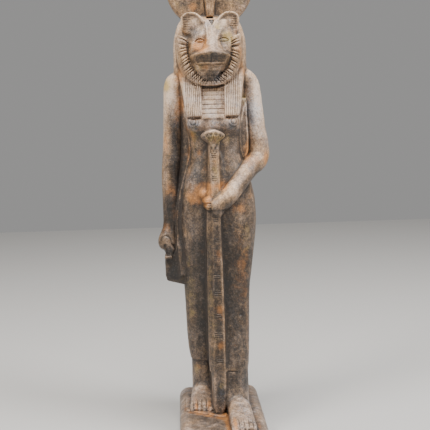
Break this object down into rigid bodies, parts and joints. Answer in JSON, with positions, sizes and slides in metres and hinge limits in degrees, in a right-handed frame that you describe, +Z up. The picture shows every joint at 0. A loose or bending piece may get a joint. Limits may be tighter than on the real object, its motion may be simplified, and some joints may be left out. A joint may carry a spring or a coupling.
{
  "type": "granite lioness goddess statue",
  "caption": "Standing lioness-headed goddess in a sheath dress, with a disk on her head and a papyrus sceptre, carved with her plinth from one block of granite.",
  "frame": {"origin": "middle of the plinth's underside", "axes": "+Z up; the goddess faces -Y; +X is to the viewer's right, her left"},
  "size_m": [0.1176, 0.168, 0.5028],
  "materials": {
    "granite": "worn, softly rubbed granite, grey-brown with darker mottling and rust and ochre stains"
  },
  "bodies": {
    "root": {"goddess_statue": "granite"}
  },
  "joints": []
}
